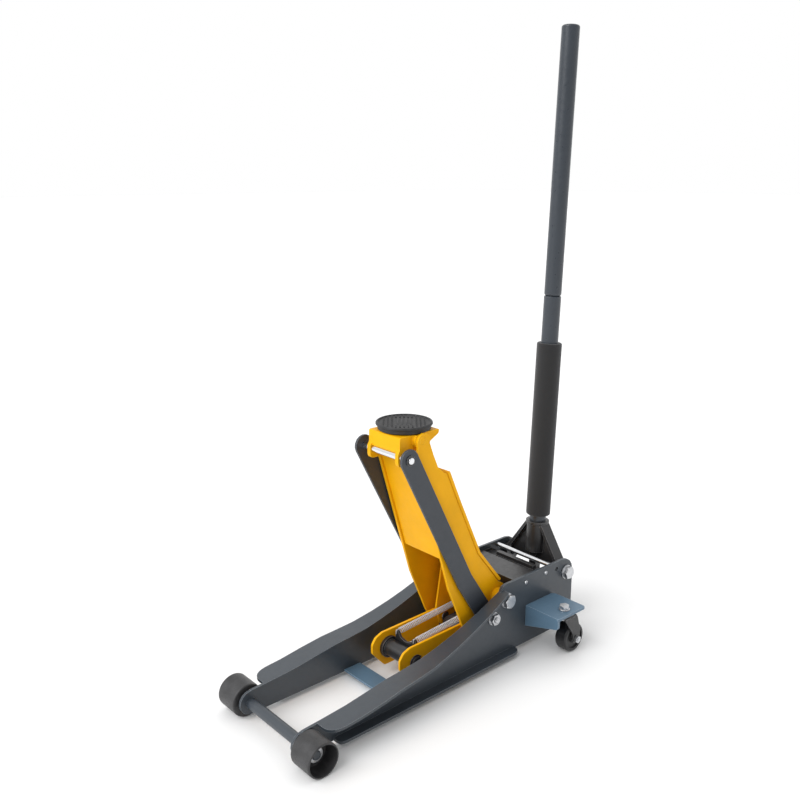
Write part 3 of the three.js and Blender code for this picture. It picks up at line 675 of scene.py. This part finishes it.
def stud(bm, at, along, across, half, top):
    """A low block on a rubber face, smaller at its top."""
    rings = []
    for z, scale in ((at.z - 0.2 * MM, 1.0), (top, 0.72)):
        rings.append([bm.verts.new(Vector((at.x, at.y, z)) + along * half[0] * sx * scale
                                   + across * half[1] * sy * scale)
                      for sx, sy in ((-1, -1), (1, -1), (1, 1), (-1, 1))])
    for k in range(4):
        n = (k + 1) % 4
        bm.faces.new((rings[0][k], rings[0][n], rings[1][n], rings[1][k]))
    bm.faces.new(rings[0])
    bm.faces.new(rings[1])


def saddle():
    """The rubber pad: a raised rim, a grid of small studs, and four bars across the middle."""
    returned("saddle_cup", "black_paint", Z)
    low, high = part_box("saddle_pad")
    at = centre("saddle_pad")
    full = high.z - at.z
    rim = (high.x - low.x) / 2
    profile = section("saddle_pad", at, Z)
    outer = [p for p in profile if p[0] > 1e-6 and not (abs(p[1] - full) < 1e-6)]
    lowest = [p for p in profile if p[0] <= 1e-6 and abs(p[1] - full) > 1e-6]
    floor = full - TREAD_DEPTH
    ring = [*lowest, *outer, (rim - 1.3 * MM, full), (rim - 4.2 * MM, full), (rim - 5 * MM, floor),
            (0, floor)]
    if outer[0][0] > outer[-1][0]:
        ring = [*lowest, *reversed(outer), *ring[len(lowest) + len(outer):]]
    bm = lathe(bmesh.new(), at, Z, softened(ring, 0.5 * MM))
    along = Vector((0.66, 0.75, 0)).normalized()
    across = Vector((-along.y, along.x, 0))
    base = Vector((at.x, at.y, at.z + floor))
    top = high.z - 0.1 * MM
    for i in range(4):
        stud(bm, base + across * (i - 1.5) * 7.5 * MM, along, across, (21 * MM, 1.7 * MM), top)
    pitch = 7.2 * MM
    for i in range(-6, 7):
        for j in range(-6, 7):
            u, v = i * pitch, j * pitch
            if math.hypot(u, v) > rim - 8 * MM or (abs(u) < 25 * MM and abs(v) < 16 * MM):
                continue
            stud(bm, base + along * u + across * v, along, across, (1.9 * MM, 1.9 * MM), top)
    piece("saddle_pad_tread", mesh_of(bm, "saddle_pad"), "saddle_rubber", body_of("saddle_pad"),
          ["saddle_pad"])


# ---------------------------------------------------------------- lift arm
def lift_arm():
    for side, _ in SIDES:
        refined(f"{side}_arm_plate", "yellow_paint", 0.9 * MM, 3)
        refined(f"{side}_crank_plate", "yellow_paint", 0.9 * MM)
        refined(f"{side}_parallel_link", "link_paint", 0.9 * MM, 3)
        returned(f"{side}_crank_pin", "zinc_steel", Y)
        returned(f"{side}_head_pin", "yellow_paint", Y)
    refined("arm_front_cover", "yellow_paint", 0.9 * MM)
    refined("arm_rear_cover", "yellow_paint", 0.9 * MM)
    returned("arm_pivot_tube", "yellow_paint", Y)
    refined("saddle_head", "yellow_paint", 1.6 * MM, 3)
    returned("saddle_pin", "bright_steel", Y)


# ---------------------------------------------------------------- wheels
def wheels():
    for side, _ in SIDES:
        returned(f"{side}_front_wheel", "cast_iron", Y, fillet=1 * MM)
        returned(f"{side}_wheel_washer", "zinc_steel", Y)
        refined(f"{side}_caster_fork", "black_paint", 0.7 * MM)
        returned(f"{side}_caster_wheel", "caster_wheel_plastic", Y)
        refined(f"{side}_caster_axle", "zinc_steel", 0.4 * MM)
        refined(f"{side}_kingpin", "zinc_steel", 0.5 * MM)


# ---------------------------------------------------------------- handle
def handle():
    refined("handle_yoke", "black_paint", 1.5 * MM, 3)
    axis_at = anchor("handle_twist")
    returned("lower_handle_tube", "tube_paint", HANDLE_AXIS, axis_at)
    grip = returned("foam_grip", "foam", HANDLE_AXIS, axis_at, fillet=3 * MM)
    returned("upper_handle_tube", "tube_paint", HANDLE_AXIS, axis_at, fillet=2 * MM)


# ---------------------------------------------------------------- studio
CAMERA_AT = Vector((-1.0493, -1.1159, 0.9151))
CAMERA_YAW = 0.7217          # from +Y towards +X
CAMERA_PITCH = 0.2477        # downwards
CAMERA_ROLL = -0.0025
LENS = 39.83                 # for a sensor 36 mm wide
SUN_FROM = Vector((-0.75, 0.1, 0.65))
SUN_STRENGTH = 2.2


def camera():
    ahead = Vector((math.sin(CAMERA_YAW) * math.cos(CAMERA_PITCH),
                    math.cos(CAMERA_YAW) * math.cos(CAMERA_PITCH), -math.sin(CAMERA_PITCH)))
    right = ahead.cross(Z).normalized()
    up = right.cross(ahead)
    turned = right * math.cos(CAMERA_ROLL) + up * math.sin(CAMERA_ROLL)
    data = bpy.data.cameras.new("camera")
    data.lens = LENS
    data.sensor_width = 36
    obj = bpy.data.objects.new("camera", data)
    obj.matrix_world = Matrix((turned, turned.cross(ahead), -ahead)).transposed().to_4x4()
    obj.matrix_world.translation = CAMERA_AT
    bpy.context.scene.collection.objects.link(obj)
    bpy.context.scene.camera = obj


def sky():
    """A white room, brighter on the far side of the jack than on the camera's side."""
    world = bpy.data.worlds.new("studio")
    world.use_nodes = True
    tree = world.node_tree
    toward = tree.nodes.new("ShaderNodeTexCoord").outputs["Generated"]
    dot = tree.nodes.new("ShaderNodeVectorMath")
    dot.operation = "DOT_PRODUCT"
    dot.inputs[1].default_value = (0.66, 0.75, 0)
    tree.links.new(toward, dot.inputs[0])
    bright = tree.nodes.new("ShaderNodeMapRange")
    for socket, number in zip(("From Min", "From Max", "To Min", "To Max"), (-1, 1, 0.5, 1.2)):
        bright.inputs[socket].default_value = number
    tree.links.new(dot.outputs["Value"], bright.inputs["Value"])
    seen = tree.nodes.new("ShaderNodeMix")
    seen.inputs[3].default_value = 1.0
    tree.links.new(tree.nodes.new("ShaderNodeLightPath").outputs["Is Camera Ray"], seen.inputs[0])
    tree.links.new(bright.outputs["Result"], seen.inputs[2])
    tree.links.new(seen.outputs[0], tree.nodes["Background"].inputs["Strength"])
    tree.nodes["Background"].inputs["Color"].default_value = (1, 1, 1, 1)
    bpy.context.scene.world = world


def studio():
    sky()
    data = bpy.data.lights.new("key", "SUN")
    data.energy = SUN_STRENGTH
    data.angle = math.radians(50)
    sun = bpy.data.objects.new("key", data)
    sun.rotation_euler = (-SUN_FROM).to_track_quat("-Z", "Y").to_euler()
    bpy.context.scene.collection.objects.link(sun)
    mesh = bpy.data.meshes.new("floor")
    half = 40
    mesh.from_pydata([(-half, -half, 0), (half, -half, 0), (half, half, 0), (-half, half, 0)], [],
                     [(0, 1, 2, 3)])
    look = Look("floor_look", Roughness=0.7)
    look.colour(look.mix(look.noise(1.5), (0.89, 0.89, 0.89), (0.91, 0.91, 0.91)))
    mesh.materials.append(look.material)
    floor = bpy.data.objects.new("floor", mesh)
    bpy.context.scene.collection.objects.link(floor)
    bpy.context.scene.view_settings.view_transform = "Standard"


camera()
studio()
chassis()
bolts()
hydraulics()
springs()
lift_arm()
saddle()
fittings()
wheels()
handle()
